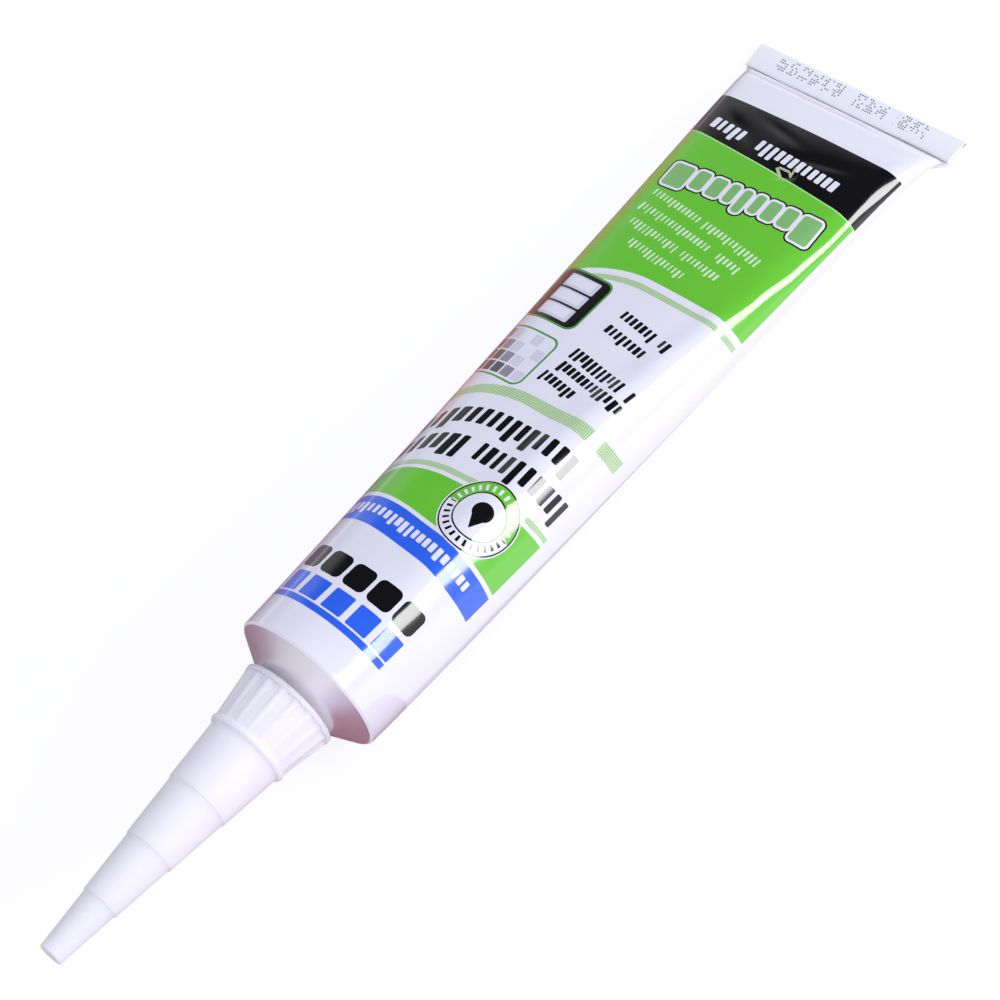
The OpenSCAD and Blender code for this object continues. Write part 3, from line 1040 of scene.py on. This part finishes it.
def seen_rays(tree):
    """1 for the rays that show the background: straight, by reflection or through glass."""
    path = add(tree, "ShaderNodeLightPath").outputs
    return worked_out(
        tree, MATH, path["Is Camera Ray"],
        ("MAXIMUM", path["Is Glossy Ray"]), ("MAXIMUM", path["Is Transmission Ray"]),
    )


def make_floor():
    """A white paper floor that is white in the picture and keeps a soft shadow."""
    deselect()
    bpy.ops.mesh.primitive_plane_add(size=6, location=(0, 0, -0.02 * MM))
    floor = bpy.context.object
    floor.name = "floor"
    material, tree = new_material("paper_floor")
    paper = add(tree, "ShaderNodeBsdfDiffuse", {"Color": linear("#DFD6DD")})
    glow = add(tree, "ShaderNodeEmission", {"Strength": 0.84})
    shaded = add(tree, "ShaderNodeBsdfDiffuse", {"Color": (0.2, 0.2, 0.2, 1)})
    lit = add(tree, "ShaderNodeAddShader", {0: glow.outputs[0], 1: shaded.outputs[0]})
    mix = add(
        tree, "ShaderNodeMixShader", {0: seen_rays(tree), 1: paper.outputs[0], 2: lit.outputs[0]}
    )
    add(tree, "ShaderNodeOutputMaterial", {"Surface": mix.outputs[0]})
    floor.data.materials.append(material)


def make_card(name, across, along, code, height=0.0):
    """A matt card that lies beside the tube, or stands there, and shows only in its shine."""
    deselect()
    middle = (sum(across) / 2, sum(along) / 2, height / 2 - 0.015 * MM)
    turn = (math.pi / 2 if height else 0, 0, 0)
    bpy.ops.mesh.primitive_plane_add(size=1, location=middle, rotation=turn)
    card = bpy.context.object
    card.name = name
    card.scale = (across[1] - across[0], height or along[1] - along[0], 1)
    bpy.ops.object.transform_apply(location=True, rotation=True, scale=True)
    card.visible_camera = card.visible_diffuse = False
    card.visible_shadow = card.visible_transmission = False
    material, tree = new_material(name)
    matt = add(tree, "ShaderNodeBsdfDiffuse", {"Color": linear(code)})
    add(tree, "ShaderNodeOutputMaterial", {"Surface": matt.outputs[0]})
    card.data.materials.append(material)


def make_world():
    """Pale lavender fill from all round, and a white backdrop under a dimmer ceiling."""
    world = bpy.data.worlds.new("studio")
    bpy.context.scene.world = world
    world.use_nodes = True
    tree = world.node_tree
    tree.nodes.clear()
    direction = add(tree, "ShaderNodeTexCoord").outputs["Generated"]
    across, height = add(tree, "ShaderNodeSeparateXYZ", {0: direction}).outputs[1:]
    walls = add(
        tree, "ShaderNodeMapRange",
        {"Value": height, "From Min": 0.02, "From Max": 0.15, "To Min": 1.0, "To Max": 0.6},
    )
    ceiling = add(
        tree, "ShaderNodeMapRange",
        {"Value": height, "From Min": 0.48, "From Max": 0.62, "To Min": 1.0, "To Max": 0.08},
    )
    backdrop = worked_out(tree, MATH, walls.outputs[0], ("MULTIPLY", ceiling.outputs[0]))
    soft = worked_out(tree, MATH, across, ("MULTIPLY_ADD", -0.17, 0.86))
    fill = add(tree, "ShaderNodeBackground", {"Color": linear("#E8EAFA"), "Strength": soft})
    white = add(tree, "ShaderNodeBackground", {"Strength": backdrop})
    mix = add(
        tree, "ShaderNodeMixShader", {0: seen_rays(tree), 1: fill.outputs[0], 2: white.outputs[0]}
    )
    add(tree, "ShaderNodeOutputWorld", {"Surface": mix.outputs[0]})


def make_softbox(name, toward, distance, size, radiance):
    """A soft lamp aimed at the tube, given by the brightness of its face."""
    light = bpy.data.lights.new(name, "AREA")
    light.shape = "RECTANGLE"
    light.size, light.size_y = size
    light.energy = radiance * math.pi * size[0] * size[1]
    lamp = bpy.data.objects.new(name, light)
    bpy.context.scene.collection.objects.link(lamp)
    direction = Vector(toward).normalized()
    lamp.location = direction * distance
    lamp.rotation_euler = direction.to_track_quat("Z", "Y").to_euler()


make_camera()
aluminium = bare_aluminium()
finish_piece(make_body(), "tube", "lacquered_aluminium", printed_lacquer())
finish_piece(make_tail(), "tube", "lacquered_aluminium", coded_lacquer())
finish_piece(make_shoulder(), "tube", "lacquered_aluminium", aluminium)
finish_piece(make_seal(), "tube", "lacquered_aluminium", sealing_foil())
finish_piece(make_nozzle(), "nozzle", "natural_polyethylene", natural_polyethylene())
make_floor()
make_card("rose_card_behind", (-0.13, 0.12), (0.0, 0.085), "#B59499")
make_card("lilac_card_behind", (-0.3, 0.12), (0.085, 0.26), "#C3B5C4")
make_card("rose_card_nose", (-0.066, -0.03), (-0.04, 0.0), "#B88E93")
make_card("lilac_card_nose", (-0.12, -0.066), (-0.04, 0.0), "#DAD1E0")
make_card("pale_card_under", (-0.03, 0.09), (-0.014, 0.0), "#DED5DB")
make_card("salmon_card_behind_tail", (0.012, 0.078), (0.032, 0.032), "#E6A48F", 0.015)
make_world()
make_softbox("strip_softbox", (0.43, -0.785, 0.43), 0.61, (0.38, 0.185), 8.2)
bpy.context.scene.view_settings.view_transform = "Standard"
